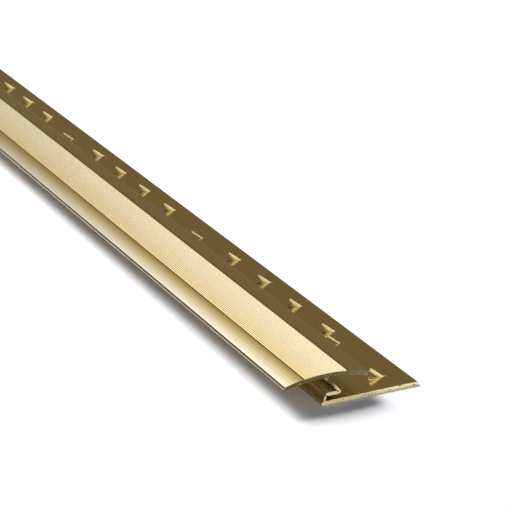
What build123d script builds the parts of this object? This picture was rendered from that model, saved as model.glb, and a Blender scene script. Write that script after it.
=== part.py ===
from build123d import *
from math import cos, sin, sqrt
import os

# Door bar with a hinged Z section: a flat base that lies under the carpet's
# edge, three links that climb from its left side, and an arched, fluted cover
# over both floors. Sizes are in mm. The section is drawn in X (across) and Z
# (up), with X = 0 at the nose of the base and Z = 0 on the floor; the bar
# runs along Y.

length = 900.0            # one door width of stock
base_width = 36.0         # nose to rounded right edge
base_thick = 1.25
nose_tuck = 0.15          # how far the underside stops short of the nose
nose_round = 0.2

cover_overhang = 13.5     # lip beyond the nose, over the hard floor
cover_width = 30.6        # lip to blunt right end
cover_crest = 10.95       # top of the arch above the floor
cover_radius = 58.0       # one arc for the whole top
cover_thick = 1.5         # at the crest, over the ridges
end_thick = 1.7           # at the blunt right end
end_tuck = 0.15           # how far its lower corner is set back
end_round = 0.3           # its corners
lip_thick = 1.25          # where the bead begins
lip_bead = 1.4            # width of the bead along the lip
lip_height = 1.4          # sharp upper corner of the lip to the bead's bottom
lip_bevel = 0.4           # how far the lip's edge face slants out
lip_face = 0.5            # height of that face

flute_count = 20          # ridges between the two smooth strips
flute_pitch = 0.775
flute_depth = 0.28        # ridges are round, the grooves between them sharp

wall_foot = 0.6           # outer face of the wall at the base, from the nose
wall_lean = 1.1           # how far the wall leans in at its top
wall_thick = 0.75         # at its belly, a little above the base
belly_rise = 0.6
bend_web = 0.5            # metal left inside the bends above and below it
shoulder_round = 0.7
shoulder_groove = 0.4     # height of the groove cut up inside the shoulder
groove_half = 0.2         # half its width
step_top = 4.1            # top of the step above the floor
step_thick = 1.2
step_end = 7.1            # right side of the lower hinge, from the nose
notch_mouth = 1.7         # notch inside the lower hinge, from the same side
notch_end = 1.05
notch_depth = 0.5
hinge_web = 0.55          # metal left beside the notch
hinge_round = 0.5         # step_end to the end of the hinge's round side
hinge_lobe = 0.12         # soft lobe under the hinge
lobe_run = 1.4
leg_foot_in = 0.28        # foot of the leg's right face, left of the hinge's side
leg_foot_up = 0.1         # and above the step
leg_thick = 0.95
leg_cut = 1.2             # slanted cut at the left of the leg's foot
leg_top = 2.35            # right face of the leg at the cover, from the nose
leg_web = 0.5             # metal left at the upper hinge
leg_groove = 0.35         # height of the groove there, and of its slope
nib_size = 0.48           # small round nib beside that groove

tooth_pitch = 25.0        # within a group of the outer row
group_teeth = 4
group_step = 135.0        # from group to group
group_first = 48.8        # first outer tooth, from the near end
single_ahead = 33.3       # inner tooth ahead of each later group
pair_near = 8.8           # inner teeth at both ends, from that end
pair_far = 39.0
outer_row = 5.1           # root of the outer teeth, from the right edge
inner_row = 8.3           # root of the inner teeth, from the right edge
tooth_reach = 4.6         # root to tip, seen from above
tooth_rise = 3.0          # tip above the base
tooth_arch = 1.85         # back of the blade above the base, halfway to the tip
tail_run = 1.2            # low tail where the blade leaves the base
tail_rise = 0.35
tooth_turn = 163.3        # heading of a tooth; 180 is square to the cover
tooth_width = 1.2
tooth_tip = 0.55          # upright, at the blunt tip
tip_slant = 0.28          # how far the tip's upper corner is set back
tooth_heel = 2.0          # length along the base where the blade is joined
tooth_sink = 0.3          # how deep the blade runs into the base
hole_length = 1.7         # almond hole pierced beside each tooth's tip
hole_width = 1.3
hole_reach = 4.6          # root of the tooth to the middle of its hole
hole_side = 1.5           # and to the left of the blade
burr_height = 0.5         # torn rim round the hole
burr_width = 0.36
burr_taper = 24
slit_length = 0.8         # open end of the cut behind the root
slit_width = 0.3
slit_depth = 0.5

# Places worked out from the sizes above
middle_x = (base_width - cover_overhang) / 2
lip_x = -cover_overhang
end_x = cover_width - cover_overhang
crest_x = (lip_x + end_x) / 2
arc_z = cover_crest - cover_radius
under_z = cover_crest - cover_thick
base_end = base_width - base_thick / 2
wall_top = wall_foot + wall_lean
step_under = step_top - step_thick

# Turns about the middle of the cover's arc, in radians from its crest
ridge_turn = flute_pitch / cover_radius
band_turn = flute_count * ridge_turn / 2
edge_turn = band_turn + ridge_turn / 3
groove_radius = cover_radius - flute_depth


# Height of the cover's smooth top at a place across the bar
def arch_z(x):
    return arc_z + sqrt(cover_radius**2 - (x - crest_x) ** 2)


# Point at a radius and a turn about the middle of the cover's arc
def arch_point(radius, turn):
    return Vector(crest_x + radius * sin(turn), arc_z + radius * cos(turn))


# Lip and blunt end of the cover
corner = Vector(lip_x + lip_bevel, arch_z(lip_x + lip_bevel))
lip_nose = Vector(lip_x, corner.Y - lip_face)
bead_low = Vector(lip_x + lip_bead / 2, corner.Y - lip_height)
bead_end = Vector(lip_x + lip_bead, arch_z(lip_x + lip_bead) - lip_thick)
end_top = Vector(end_x, arch_z(end_x))
end_low = Vector(end_x - end_tuck, end_top.Y - end_thick)

# Leg between the lower hinge and the cover: its right face runs up to the left
leg_foot = Vector(step_end - leg_foot_in, step_top + leg_foot_up)
leg_head = Vector(leg_top, under_z)
leg_run = (leg_head - leg_foot).normalized()
leg_side = Vector(-leg_run.Y, leg_run.X)
leg_into = leg_head + leg_run * cover_thick / 2
nib = leg_head - leg_run * 2 * leg_groove + leg_side * leg_thick

# Section of the bar, run to both ends
with BuildPart() as bar:
    with BuildSketch(Plane((-middle_x, 0, 0), x_dir=(1, 0, 0), z_dir=(0, -1, 0))) as section:
        # Flat base: bevelled nose on the left, full round on the right
        with BuildLine() as base_line:
            Polyline(
                (base_end, 0),
                (nose_tuck, 0),
                (0, base_thick / 2),
                (wall_foot, base_thick),
                (base_end, base_thick),
            )
            ThreePointArc((base_end, base_thick), (base_width, base_thick / 2), (base_end, 0))
        make_face()
        # Wall and step, with a groove inside each bend and the thin lower hinge
        with BuildLine() as link_line:
            Polyline(
                (wall_foot, base_thick),
                (wall_top, step_top),
                (step_end - notch_mouth, step_top),
                (step_end - notch_end, step_top - notch_depth),
                leg_foot + leg_side * hinge_web,
                leg_foot,
            )
            hinge = ThreePointArc(
                leg_foot,
                (step_end, step_top - step_thick / 3),
                (step_end - hinge_round, step_under + hinge_lobe),
            )
            Polyline(
                hinge @ 1,
                (step_end - lobe_run, step_under - hinge_lobe),
                (wall_top + bend_web + groove_half, step_under),
                (wall_top + bend_web - groove_half, step_under + shoulder_groove),
                (wall_top + groove_half, step_under),
                (wall_foot + wall_lean / 4 + wall_thick, base_thick + belly_rise),
                (wall_foot + bend_web, base_thick),
                (wall_foot + bend_web, base_thick / 2),
                (wall_foot, base_thick),
            )
        make_face()
        # Leg, with a groove from the left just under the cover
        with BuildLine() as leg_line:
            Polyline(
                leg_foot,
                leg_into,
                leg_into + leg_side * leg_web,
                leg_head - leg_run * leg_groove + leg_side * leg_web,
                leg_head - leg_run * 2 * leg_groove + leg_side * leg_thick,
                leg_foot + leg_run * leg_cut + leg_side * leg_thick,
                leg_foot + leg_side * hinge_web,
                leg_foot,
            )
        make_face()
        with Locations((nib.X, nib.Y)):
            Circle(nib_size / 2)
        # Arched cover: smooth strip, round ridges between sharp grooves, smooth flange
        with BuildLine() as cover_line:
            left_edge = arch_point(cover_radius, -edge_turn)
            right_edge = arch_point(cover_radius, edge_turn)
            left_half = (corner.X + left_edge.X) / 2
            right_half = (right_edge.X + end_x) / 2
            ThreePointArc(corner, (left_half, arch_z(left_half)), left_edge)
            Line(left_edge, arch_point(groove_radius, -band_turn))
            for count in range(flute_count):
                turn = count * ridge_turn - band_turn
                ThreePointArc(
                    arch_point(groove_radius, turn),
                    arch_point(cover_radius, turn + ridge_turn / 2),
                    arch_point(groove_radius, turn + ridge_turn),
                )
            Line(arch_point(groove_radius, band_turn), right_edge)
            ThreePointArc(right_edge, (right_half, arch_z(right_half)), end_top)
            Line(end_top, end_low)
            ThreePointArc(end_low, (crest_x, under_z), bead_end)
            Line(bead_end, bead_low)
            TangentArc(lip_nose, bead_low, tangent=(0, -1))
            Line(lip_nose, corner)
        make_face()
        # Soft corners of the flange's end, the base's nose and the shoulder
        end_corners = section.vertices().filter_by(lambda v: v.X > end_x - 2 * end_tuck)
        fillet(end_corners.filter_by(lambda v: v.Y > step_top), end_round)
        nose_corners = section.vertices().filter_by(lambda v: 0 <= v.X < wall_foot)
        fillet(nose_corners.filter_by(lambda v: v.Y < base_thick), nose_round)
        fillet(section.vertices().sort_by_distance((wall_top, step_top))[0], shoulder_round)
    extrude(amount=length / 2, both=True)

    # Places of the teeth: groups in the outer row, single ones in the gaps
    outer_x = base_width - outer_row - middle_x
    inner_x = base_width - inner_row - middle_x
    group_run = (group_teeth - 1) * tooth_pitch
    groups = int((length - 2 * group_first - group_run) // group_step) + 1
    spots = []
    for group in range(groups):
        start = group_first + group * group_step - length / 2
        for count in range(group_teeth):
            spots.append(Location((outer_x, start + count * tooth_pitch, base_thick)))
        if group > 0:
            spots.append(Location((inner_x, start - single_ahead, base_thick)))
    for way in (-1, 1):
        for inset in (pair_near, pair_far):
            spots.append(Location((inner_x, way * (length / 2 - inset), base_thick)))

    # Blades bent up from the base, and the torn rim round each almond hole
    heading = Rotation(0, 0, tooth_turn)
    with BuildPart(mode=Mode.PRIVATE) as tooth:
        with BuildSketch(Plane.XZ) as blade:
            with BuildLine() as blade_line:
                tail = ThreePointArc(
                    (0, 0), (tail_run / 3, tail_rise / 2), (tail_run, tail_rise)
                )
                back = ThreePointArc(
                    tail @ 1,
                    ((tail_run + tooth_reach) / 2, tooth_arch),
                    (tooth_reach - tip_slant, tooth_rise),
                )
                Polyline(
                    back @ 1,
                    (tooth_reach, tooth_rise - tooth_tip),
                    (tooth_heel, 0),
                    (tooth_heel - tooth_sink, -tooth_sink),
                    (tooth_sink, -tooth_sink),
                    (0, 0),
                )
            make_face()
        extrude(amount=tooth_width / 2, both=True)
    with BuildPart(mode=Mode.PRIVATE) as collar:
        with BuildSketch(Plane((hole_reach, hole_side, -tooth_sink))) as rim:
            with BuildLine() as rim_line:
                rim_end = hole_length / 2 + burr_width
                rim_half = hole_width / 2 + burr_width
                ThreePointArc((-rim_end, 0), (0, rim_half), (rim_end, 0))
                ThreePointArc((rim_end, 0), (0, -rim_half), (-rim_end, 0))
            make_face()
        extrude(amount=tooth_sink + burr_height, taper=burr_taper)
    with BuildPart(mode=Mode.PRIVATE) as hole:
        with BuildSketch(Plane((hole_reach, hole_side, -2 * base_thick))) as almond:
            with BuildLine() as almond_line:
                almond_end = hole_length / 2
                almond_half = hole_width / 2
                ThreePointArc((-almond_end, 0), (0, almond_half), (almond_end, 0))
                ThreePointArc((almond_end, 0), (0, -almond_half), (-almond_end, 0))
            make_face()
        extrude(amount=2 * (base_thick + burr_height))
        with Locations((-slit_length / 2, 0, 0)):
            Box(slit_length, slit_width, 2 * slit_depth)
    places = [spot * heading for spot in spots]
    with Locations(*places):
        add(tooth.part)
    with Locations(*places):
        add(collar.part)
    with Locations(*places):
        add(hole.part, mode=Mode.SUBTRACT)

bar.part.label = "door_bar"
os.makedirs("parts", exist_ok=True)
export_step(bar.part, "parts/door_bar.step")
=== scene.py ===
import logging
import math
from dataclasses import dataclass, field
from enum import Enum
from operator import itemgetter
from typing import NamedTuple

import bpy
import numpy as np
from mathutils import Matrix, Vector


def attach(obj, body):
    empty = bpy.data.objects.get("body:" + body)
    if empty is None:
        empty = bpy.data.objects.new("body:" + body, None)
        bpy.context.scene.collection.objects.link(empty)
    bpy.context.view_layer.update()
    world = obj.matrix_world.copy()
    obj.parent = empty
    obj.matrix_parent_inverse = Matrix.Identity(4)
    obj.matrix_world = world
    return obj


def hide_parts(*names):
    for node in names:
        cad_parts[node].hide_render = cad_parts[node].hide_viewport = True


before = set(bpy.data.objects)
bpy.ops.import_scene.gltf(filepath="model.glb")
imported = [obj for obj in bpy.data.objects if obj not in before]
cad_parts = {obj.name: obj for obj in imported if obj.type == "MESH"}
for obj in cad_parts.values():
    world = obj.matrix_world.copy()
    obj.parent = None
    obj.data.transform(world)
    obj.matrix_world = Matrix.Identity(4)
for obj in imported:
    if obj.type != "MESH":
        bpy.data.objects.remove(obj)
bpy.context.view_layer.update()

LOG = logging.getLogger("door_bar")
MM = 0.001
WHITE = (1.0, 1.0, 1.0)
ENDS = (-1, 1)

Span = tuple[float, float]
Triple = tuple[float, float, float]
Colour = Triple
Cell = tuple[float, float, float, float]
Tree = bpy.types.NodeTree
Socket = bpy.types.NodeSocket


class Face(Enum):
    """Which finish a face of the bar has."""

    PLATE = 0
    LINK = 1
    STRIP = 2
    RIDGE = 3
    FLANGE = 4
    LIP = 5
    UNDER = 6
    CUT = 7
    TORN = 8
    TOOTH = 9
    PIT = 10
    COVER_CUT = 11
    FLUTE = 12
    CHANNEL = 13
    LEG_CUT = 14


class Kind(Enum):
    """How a run of the outline is built: the base's flat faces have holes."""

    SWEPT = "swept"
    FLAT_LOW = "flat_low"
    FLAT_TOP = "flat_top"


class Blade(Enum):
    """The three forms in which the punch leaves a gripper tooth."""

    STRIP = "strip"
    LEAF = "leaf"
    SLIVER = "sliver"


Root = tuple[float, float, Blade]


class Run(NamedTuple):
    """A run of the outline: its finish, its points of shape (n, 2) and its kind."""

    finish: Face
    points: np.ndarray
    kind: Kind = Kind.SWEPT


def feed(tree: Tree, socket: Socket, value: Socket | float | Colour) -> None:
    """Wire a value into an input, or write it there where it is a constant.

    Args:
        tree: The node tree.
        socket: The input.
        value: Another node's output, a number or a colour.
    """
    if isinstance(value, Socket):
        tree.links.new(value, socket)
    elif socket.type == "RGBA":
        socket.default_value = (*value, 1.0)
    else:
        socket.default_value = value


def node(tree: Tree, kind: str, *values: Socket | float | Colour) -> bpy.types.Node:
    """Add a node and fill its first inputs.

    Args:
        tree: The node tree.
        kind: The node's kind, without the part that all names begin with.
        values: Outputs or constants, in the order of the inputs.

    Returns:
        The node.
    """
    made = tree.nodes.new("ShaderNode" + kind)
    for socket, value in zip(made.inputs, values):
        feed(tree, socket, value)
    return made


def maths(tree: Tree, how: str, *values: Socket | float) -> Socket:
    """Join numbers by a named operation.

    Args:
        tree: The node tree.
        how: The operation.
        values: Outputs or constants, in the operation's order.

    Returns:
        The result's socket.
    """
    made = node(tree, "Math", *values)
    made.operation = how
    return made.outputs[0]


def blend(tree: Tree, share: Socket, below: Socket | Colour, above: Socket | Colour) -> Socket:
    """Mix two colours.

    Args:
        tree: The node tree.
        share: How much of the second colour shows, from 0 to 1.
        below: The first colour.
        above: The second colour.

    Returns:
        The mixed colour's socket.
    """
    made = node(tree, "Mix", share)
    made.data_type = "RGBA"
    feed(tree, made.inputs[6], below)
    feed(tree, made.inputs[7], above)
    return made.outputs[2]


def ramp(tree: Tree, value: Socket, source: Span, target: Span) -> Socket:
    """Map a value smoothly from one range to another.

    Args:
        tree: The node tree.
        value: The socket to read.
        source: Range that is read, in either order.
        target: Range that is written.

    Returns:
        The mapped value's socket.
    """
    if source[1] < source[0]:
        source, target = source[::-1], target[::-1]
    made = node(tree, "MapRange", value, *source, *target)
    made.interpolation_type = "SMOOTHSTEP"
    return made.outputs["Result"]


def radians(span: Span) -> Span:
    """Turn a span of angles from degrees into radians."""
    return math.radians(span[0]), math.radians(span[1])


def linked(name: str, data: bpy.types.ID) -> bpy.types.Object:
    """Make an object and put it into the scene.

    Args:
        name: The object's name.
        data: Its mesh, lamp or camera.

    Returns:
        The object.
    """
    made = bpy.data.objects.new(name, data)
    bpy.context.scene.collection.objects.link(made)
    return made


@dataclass(frozen=True)
class Finish:
    """One finish of the brass: its colours, lengthwise lines, specks and relief.

    Lines are noise drawn out along the bar, specks are round noise cut off at
    a level, and both tint the colour and press the surface in a little. A
    second colour, where there is one, blends in from one X to another, in mm:
    it is painted light and shade, such as shade under the cover or a pale
    highlight tone.
    """

    name: str
    colour: Colour
    shade: Colour
    rough: Span
    # Second colour, blended in across the bar between two X: painted light and shade.
    painted_light: Colour | None = None
    painted_light_span: Span = (0.0, 1.0)
    lines_across: float = 3.0
    lines_along: float = 0.02
    line_span: Span = (0.38, 0.66)
    line_share: float = 0.35
    line_relief: float = 0.004
    gloss_span: Span = (0.3, 0.7)
    line_detail: float = 3.0
    speck_scale: float = 2.0
    speck_detail: float = 2.0
    speck_level: float = 0.7
    speck_edge: Span = (0.05, 0.03)
    speck_share: float = 0.3
    speck_relief: float = 0.01

    def material(self) -> bpy.types.Material:
        """Build the node material of this finish.

        Returns:
            The material, with the metal's constant values on its own sockets.
        """
        made = bpy.data.materials.new(self.name)
        made.use_nodes = True
        tree = made.node_tree
        metal = tree.nodes["Principled BSDF"].inputs
        metal["Metallic"].default_value = 1.0
        place = node(tree, "TexCoord").outputs["Object"]
        drawn = node(tree, "Mapping", place)
        across, along = self.lines_across / MM, self.lines_along / MM
        drawn.inputs["Scale"].default_value = (across, along, across)
        lines = self._noise(tree, drawn.outputs[0], 1.0, self.line_detail)
        specks = self._noise(tree, place, self.speck_scale / MM, self.speck_detail)
        speck_span = (
            self.speck_level - self.speck_edge[0],
            self.speck_level + self.speck_edge[1],
        )
        line_mask = ramp(tree, lines, self.line_span, (0.0, 1.0))
        speck_mask = ramp(tree, specks, speck_span, (0.0, 1.0))

        tint = self._ground(tree, place)
        for mask, share in ((line_mask, self.line_share), (speck_mask, self.speck_share)):
            tint = blend(tree, maths(tree, "MULTIPLY", mask, share), tint, self.shade)
        feed(tree, metal["Base Color"], tint)
        feed(tree, metal["Roughness"], ramp(tree, lines, self.gloss_span, self.rough))

        pressed, scored = node(tree, "Bump"), node(tree, "Bump")
        pressed.invert = True
        reliefs = ((pressed, self.speck_relief, speck_mask), (scored, self.line_relief, lines))
        for bump, relief, height in reliefs:
            bump.inputs["Distance"].default_value = relief * MM
            feed(tree, bump.inputs["Height"], height)
        feed(tree, scored.inputs["Normal"], pressed.outputs[0])
        feed(tree, metal["Normal"], scored.outputs[0])
        return made

    def _ground(self, tree: Tree, place: Socket) -> Socket | Colour:
        """The colour below the lines and specks.

        Args:
            tree: The material's node tree.
            place: The socket of the place on the bar.

        Returns:
            The plain colour, or the socket of its blend with the second colour,
            which paints light and shade across the bar.
        """
        if self.painted_light is None:
            return self.colour
        # The second colour blends in across the bar: painted light and shade.
        across = node(tree, "SeparateXYZ", place).outputs["X"]
        span = (self.painted_light_span[0] * MM, self.painted_light_span[1] * MM)
        share = ramp(tree, across, span, (0.0, 1.0))
        return blend(tree, share, self.colour, self.painted_light)

    def _noise(self, tree: Tree, place: Socket, scale: float, detail: float) -> Socket:
        """Add a noise.

        Args:
            tree: The material's node tree.
            place: The socket of the place that it is read at.
            scale: Its scale.
            detail: How many finer layers it has.

        Returns:
            The noise's socket.
        """
        noise = node(tree, "TexNoise", place)
        noise.inputs["Scale"].default_value = scale
        noise.inputs["Detail"].default_value = detail
        return noise.outputs["Fac"]


class Panels:
    """Gathers surfaces in mm and joins them into one closed mesh in metres."""

    WELD_DIGITS = 4
    FLAT_SHADED = (Face.CUT.value, Face.COVER_CUT.value, Face.LEG_CUT.value)

    def __init__(self) -> None:
        """Start with no surface."""
        self.points: list[np.ndarray] = []
        self.faces: list[list[int]] = []
        self.finishes: list[int] = []
        self.count = 0

    def _keep(self, points: np.ndarray) -> int:
        """Store points.

        Args:
            points: Array whose last axis has the three numbers of a point.

        Returns:
            The number of the first one.
        """
        first = self.count
        self.points.append(points.reshape(-1, 3))
        self.count += len(self.points[-1])
        return first

    def grid(
        self,
        points: np.ndarray,
        finish: Face,
        keep: np.ndarray | None = None,
        closed: bool = False,
    ) -> None:
        """Add a surface given on a grid of two parameters.

        The face of cell (i, j) runs (i, j), (i + 1, j), (i + 1, j + 1),
        (i, j + 1), so it faces where the first parameter's direction crossed
        with the second's points.

        Args:
            points: Array of shape (n, m, 3), in mm.
            finish: The finish of every face.
            keep: Which of the (n - 1, m - 1) cells get a face; all without it.
            closed: Whether the first parameter runs round and meets itself.
        """
        first = self._keep(points)
        rows, columns = points.shape[:2]
        index = first + np.arange(rows * columns).reshape(rows, columns)
        if closed:
            index = np.vstack([index, index[:1]])
        cells = np.stack(
            [index[:-1, :-1], index[1:, :-1], index[1:, 1:], index[:-1, 1:]], axis=-1
        )
        cells = cells[keep] if keep is not None else cells.reshape(-1, 4)
        self.faces.extend(cells.tolist())
        self.finishes.extend([finish.value] * len(cells))

    def flat(self, points: np.ndarray, finish: Face) -> None:
        """Add one flat face with any number of corners.

        Args:
            points: Corners of shape (n, 3), in mm, anticlockwise from outside.
            finish: The finish of the face.
        """
        first = self._keep(points)
        self.faces.append(list(range(first, first + len(points))))
        self.finishes.append(finish.value)

    def mesh(self, name: str, crease: float) -> bpy.types.Object:
        """Weld the points that meet and make a Blender object.

        Points that agree to a ten-thousandth of a millimetre are one point.

        Args:
            name: The object's name.
            crease: Angle between faces, in degrees, from which an edge is sharp.

        Returns:
            The object, linked to the scene.
        """
        stacked = np.round(np.vstack(self.points), self.WELD_DIGITS)
        places, welded = np.unique(stacked, axis=0, return_inverse=True)
        lengths = np.array([len(face) for face in self.faces])
        corners = welded.reshape(-1)[np.concatenate([np.asarray(face) for face in self.faces])]
        faces = [part.tolist() for part in np.split(corners, np.cumsum(lengths)[:-1])]
        made = bpy.data.meshes.new(name)
        made.from_pydata((places * MM).tolist(), [], faces)
        made.polygons.foreach_set("material_index", np.array(self.finishes, dtype=np.int32))
        made.validate(verbose=True)
        made.set_sharp_from_angle(angle=math.radians(crease))
        made.polygons.foreach_set("use_smooth", ~np.isin(self.finishes, self.FLAT_SHADED))
        return linked(name, made)


def point(x: float, z: float) -> np.ndarray:
    """A point of the section."""
    return np.array([x, z], dtype=float)


def join(*parts: np.ndarray) -> np.ndarray:
    """Points and rows of points, one after another."""
    return np.vstack([np.atleast_2d(part) for part in parts])


def unit(way: np.ndarray) -> np.ndarray:
    """A direction brought to a length of one."""
    return way / np.linalg.norm(way)


def arc(centre: np.ndarray, radius: float, start: float, end: float, steps: int) -> np.ndarray:
    """Points on a circle: the centre plus the radius at evenly spaced angles.

    Args:
        centre: Centre of the circle.
        radius: Its radius.
        start: First angle in radians, from the first axis towards the second.
        end: Last angle.
        steps: Number of runs between the points.

    Returns:
        Array of shape (steps + 1, 2).
    """
    turn = np.linspace(start, end, steps + 1)
    return np.asarray(centre) + radius * np.column_stack([np.cos(turn), np.sin(turn)])


def circle_through(a: np.ndarray, b: np.ndarray, c: np.ndarray) -> tuple[np.ndarray, float]:
    """Circle through three points.

    Its centre is the place whose distances to the three are equal, which is
    two linear equations.

    Args:
        a: First point.
        b: Second point.
        c: Third point.

    Returns:
        The centre and the radius.
    """
    left = 2 * np.array([b - a, c - a])
    right = np.array([b @ b - a @ a, c @ c - a @ a])
    centre = np.linalg.solve(left, right)
    return centre, float(np.linalg.norm(a - centre))


def arc_through(a: np.ndarray, b: np.ndarray, c: np.ndarray, steps: int) -> np.ndarray:
    """Points on the arc from a over b to c, evenly spaced by angle.

    Args:
        a: First end.
        b: A point on the way.
        c: Second end.
        steps: Number of runs between the points.

    Returns:
        Array of shape (steps + 1, 2).
    """
    centre, radius = circle_through(a, b, c)
    first, last = (math.atan2(*(p - centre)[::-1]) for p in (a, c))
    way = math.copysign(1.0, (b - a)[0] * (c - b)[1] - (b - a)[1] * (c - b)[0])
    sweep = (way * (last - first)) % (2 * math.pi)
    return arc(centre, radius, first, first + way * sweep, steps)


def rounded(
    before: np.ndarray, corner: np.ndarray, after: np.ndarray, radius: float, steps: int = 5
) -> np.ndarray:
    """Points of the round that replaces a corner between two straight runs.

    The round touches each run at radius divided by the tangent of half the
    angle between them.

    Args:
        before: A point on the first run.
        corner: The corner.
        after: A point on the second run.
        radius: Radius of the round.
        steps: Number of runs on the round.

    Returns:
        Array of shape (steps + 1, 2).
    """
    to_before, to_after = unit(before - corner), unit(after - corner)
    half = math.acos(float(np.clip(to_before @ to_after, -1, 1))) / 2
    bisector = unit(to_before + to_after)
    centre = corner + bisector * radius / math.sin(half)
    reach = radius / math.tan(half)
    first, last = corner + to_before * reach, corner + to_after * reach
    return arc_through(first, centre - bisector * radius, last, steps)


def evenly(start: np.ndarray, end: np.ndarray, spacing: float) -> np.ndarray:
    """Points on a straight run at about a spacing.

    Args:
        start: First end.
        end: Second end.
        spacing: Distance between neighbours.

    Returns:
        Array of shape (n, 2), ends included.
    """
    steps = max(1, round(float(np.linalg.norm(end - start)) / spacing))
    share = np.linspace(0, 1, steps + 1)[:, None]
    return start * (1 - share) + end * share


@dataclass
class Section:
    """The bar's cross section in mm: X from the base's nose, Z from the floor."""

    base_width: float = 36.0
    base_thick: float = 1.25
    nose_tuck: float = 0.15
    nose_round: float = 0.2
    cover_overhang: float = 13.5
    cover_width: float = 30.6
    cover_crest: float = 10.95
    cover_radius: float = 58.0
    cover_thick: float = 1.5
    end_thick: float = 1.7
    end_tuck: float = 0.15
    end_round: float = 0.3
    lip_thick: float = 1.25
    lip_bead: float = 1.4
    lip_height: float = 1.4
    lip_bevel: float = 0.4
    lip_face: float = 0.5
    lip_shaded: int = 4
    flute_count: int = 20
    flute_pitch: float = 0.775
    flute_depth: float = 0.28
    ridge_steps: int = 8
    strip_gap: float = 1 / 8
    strip_roll: float = 1.0
    strip_lean: float = 0.25
    flange_gap: float = 1 / 3
    wall_foot: float = 0.6
    wall_lean: float = 1.1
    wall_thick: float = 0.75
    belly_rise: float = 0.6
    bend_web: float = 0.5
    shoulder_round: float = 0.7
    shoulder_groove: float = 0.4
    groove_half: float = 0.2
    step_top: float = 4.1
    step_thick: float = 1.2
    step_end: float = 7.1
    notch_mouth: float = 1.7
    notch_end: float = 1.05
    notch_depth: float = 0.5
    hinge_web: float = 0.55
    hinge_round: float = 0.5
    hinge_lobe: float = 0.12
    lobe_run: float = 1.4
    leg_foot_in: float = 0.28
    leg_foot_up: float = 0.1
    leg_thick: float = 0.95
    leg_cut: float = 1.2
    leg_top: float = 2.35
    leg_web: float = 0.5
    leg_groove: float = 0.35
    nib_size: float = 0.48
    grain: float = 0.4
    step_grain: float = 1.0
    leg_grain: float = 1.5
    bend_steps: int = 8
    nib_steps: int = 8
    lip_steps: int = 7
    roll_steps: int = 5
    strip_points: int = 13
    flange_points: int = 20
    under_left: int = 16
    under_right: int = 14
    hinge_steps: int = 10
    edge_steps: int = 12

    @property
    def middle(self) -> float:
        """Middle of the whole width, from the nose."""
        return (self.base_width - self.cover_overhang) / 2

    @property
    def flat_end(self) -> float:
        """Where the base's flat faces end and its rounded edge begins."""
        return self.base_width - self.base_thick / 2

    @property
    def crest_x(self) -> float:
        """Where the cover is highest."""
        return self.cover_width / 2 - self.cover_overhang

    @property
    def ridge_turn(self) -> float:
        """Angle that one ridge takes up about the cover's centre."""
        return self.flute_pitch / self.cover_radius

    @property
    def band_turn(self) -> float:
        """Angle from the crest to either edge of the fluted band."""
        return self.flute_count * self.ridge_turn / 2

    @property
    def step_stop(self) -> np.ndarray:
        """Where the step's top ends at the hinge's notch."""
        return point(self.step_end - self.notch_mouth, self.step_top)

    def arch(self, radius: float, turn: np.ndarray | float) -> np.ndarray:
        """Points at a radius and a turn from the crest about the cover's centre.

        Args:
            radius: Distance from the centre.
            turn: One angle or more, in radians, positive to the right.

        Returns:
            One point, or an array of shape (n, 2).
        """
        turn = np.asarray(turn, dtype=float)
        across = self.crest_x + radius * np.sin(turn)
        up = self.cover_crest - self.cover_radius + radius * np.cos(turn)
        return np.stack([across, up], axis=-1)

    def _turn_at(self, x: float) -> float:
        """Turn from the crest to the top's point above a place across the bar."""
        return math.asin((x - self.crest_x) / self.cover_radius)

    def arch_at(self, x: float) -> np.ndarray:
        """Point of the smooth top above a place across the bar."""
        return self.arch(self.cover_radius, self._turn_at(x))

    def _under_points(self) -> tuple[np.ndarray, np.ndarray, np.ndarray]:
        """The three points that the cover's underside passes through.

        Returns:
            Its right end, the point below the crest and its left end.
        """
        top = self.arch_at(self.cover_width - self.cover_overhang)
        low = top - point(self.end_tuck, self.end_thick)
        bead = self.arch_at(self.lip_bead - self.cover_overhang) - point(0, self.lip_thick)
        return low, point(self.crest_x, self.cover_crest - self.cover_thick), bead

    def _cover_under(self, from_x: float, to_x: float, steps: int) -> np.ndarray:
        """Points of the cover's underside, one arc, between two places across.

        Args:
            from_x: Where the run starts.
            to_x: Where it ends.
            steps: Number of runs between the points.

        Returns:
            Array of shape (steps + 1, 2).
        """
        centre, radius = circle_through(*self._under_points())
        x = np.linspace(from_x, to_x, steps + 1)
        return np.column_stack([x, centre[1] + np.sqrt(radius**2 - (x - centre[0]) ** 2)])

    def _meet_under(self, start: np.ndarray, way: np.ndarray) -> np.ndarray:
        """Where a straight run meets the cover's underside.

        It is the larger root of the distance to the arc's centre being the
        arc's radius.

        Args:
            start: A point of the run.
            way: Its unit direction.

        Returns:
            The point on the underside.
        """
        centre, radius = circle_through(*self._under_points())
        along = way @ (start - centre)
        gap = (start - centre) @ (start - centre) - radius**2
        return start + way * (-along + math.sqrt(along**2 - gap))

    def _leg_line(self) -> tuple[np.ndarray, np.ndarray, np.ndarray]:
        """The leg's right face.

        Returns:
            Its foot, its head on the cover's middle line, and its unit
            direction from foot to head.
        """
        foot = point(self.step_end - self.leg_foot_in, self.step_top + self.leg_foot_up)
        head = point(self.leg_top, self.cover_crest - self.cover_thick)
        return foot, head, unit(head - foot)

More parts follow.
